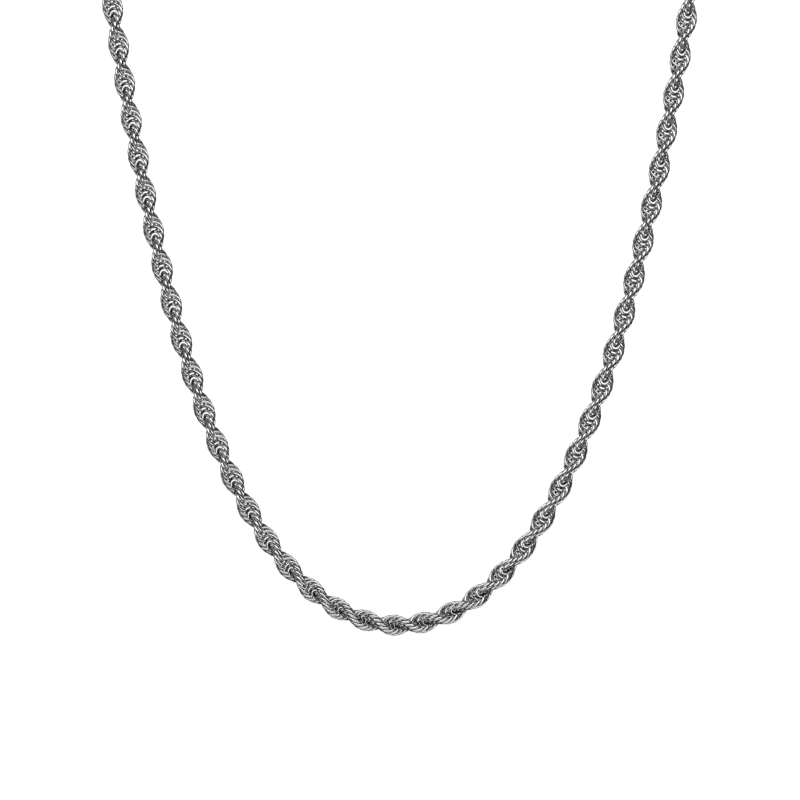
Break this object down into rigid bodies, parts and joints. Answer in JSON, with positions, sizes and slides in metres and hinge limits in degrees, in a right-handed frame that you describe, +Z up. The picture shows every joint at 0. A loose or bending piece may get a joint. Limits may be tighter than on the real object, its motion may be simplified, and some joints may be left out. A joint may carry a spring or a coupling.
{
  "type": "rope chain necklace",
  "caption": "Two-strand twisted rope chain necklace of round open wire links, hanging as one loop from a neck form and closed at the back by a lobster clasp.",
  "frame": {"origin": "the axis of the neck that the chain hangs round, at mid width and mid thickness of the chain", "axes": "+Z up; the loop hangs in the XZ plane with its front curve at the bottom and its clasp at the top; +Y runs along the neck's axis, away from the viewer"},
  "size_m": [0.1208, 0.0062, 0.2006],
  "materials": {
    "link_steel": "bright polished stainless steel wire",
    "clasp_steel": "bright polished stainless steel",
    "spring_steel": "drawn spring wire"
  },
  "bodies": {
    "neck_part": {"back_left": "link_steel", "back_right": "link_steel", "shoulder_left": "link_steel", "shoulder_right": "link_steel", "end_cap_left": "clasp_steel", "end_cap_right": "clasp_steel"},
    "jump_ring": {"jump_ring": "clasp_steel"},
    "end_ring": {"end_ring": "clasp_steel"},
    "clasp": {"clasp_body": "clasp_steel", "lever_pin": "clasp_steel", "lever_spring": "spring_steel"},
    "lever": {"clasp_lever": "clasp_steel"},
    "hang_1": {"bend_left_1": "link_steel", "bend_right_1": "link_steel", "side_left_1": "link_steel", "side_right_1": "link_steel"},
    "hang_2": {"bend_left_2": "link_steel", "bend_right_2": "link_steel", "side_left_2": "link_steel", "side_right_2": "link_steel"},
    "hang_3": {"bend_left_3": "link_steel", "bend_right_3": "link_steel", "side_left_3": "link_steel", "side_right_3": "link_steel"},
    "hang_4": {"bend_left_4": "link_steel", "bend_right_4": "link_steel", "side_left_4": "link_steel", "side_right_4": "link_steel"},
    "hang_5": {"bend_left_5": "link_steel", "bend_right_5": "link_steel", "front_left": "link_steel", "front_middle": "link_steel", "front_right": "link_steel"}
  },
  "joints": [
    {"name": "jump_ring_spin", "type": "hinge", "parent": "neck_part", "child": "jump_ring", "pos_m": [-0.0072, 0, 0.05791], "axis": [0, 1, 0], "continuous": true},
    {"name": "end_ring_spin", "type": "hinge", "parent": "neck_part", "child": "end_ring", "pos_m": [0.0071, 0, 0.05791], "axis": [0, 1, 0], "continuous": true},
    {"name": "clasp_roll", "type": "hinge", "parent": "neck_part", "child": "clasp", "pos_m": [-0.00445, 0, 0.05791], "axis": [1, 0, 0], "range_deg": [-20, 20]},
    {"name": "lever_press", "type": "hinge", "parent": "clasp", "child": "lever", "pos_m": [-0.00095, -0.00045, 0.05791], "axis": [0, 0, 1], "range_deg": [0, 22], "stiffness_Nm_per_rad": 0.0002, "springref_deg": -20.05, "deforming": ["lever_spring"]},
    {"name": "fold_1", "type": "hinge", "parent": "neck_part", "child": "hang_1", "pos_m": [0, 0, -0.024], "axis": [1, 0, 0], "range_deg": [-35, 35], "deforming": ["bend_left_1", "bend_right_1"]},
    {"name": "fold_2", "type": "hinge", "parent": "hang_1", "child": "hang_2", "pos_m": [0, 0, -0.045], "axis": [1, 0, 0], "range_deg": [-35, 35], "deforming": ["bend_left_2", "bend_right_2"]},
    {"name": "fold_3", "type": "hinge", "parent": "hang_2", "child": "hang_3", "pos_m": [0, 0, -0.066], "axis": [1, 0, 0], "range_deg": [-35, 35], "deforming": ["bend_left_3", "bend_right_3"]},
    {"name": "fold_4", "type": "hinge", "parent": "hang_3", "child": "hang_4", "pos_m": [0, 0, -0.087], "axis": [1, 0, 0], "range_deg": [-35, 35], "deforming": ["bend_left_4", "bend_right_4"]},
    {"name": "fold_5", "type": "hinge", "parent": "hang_4", "child": "hang_5", "pos_m": [0, 0, -0.108], "axis": [1, 0, 0], "range_deg": [-35, 35], "deforming": ["bend_left_5", "bend_right_5"]}
  ]
}
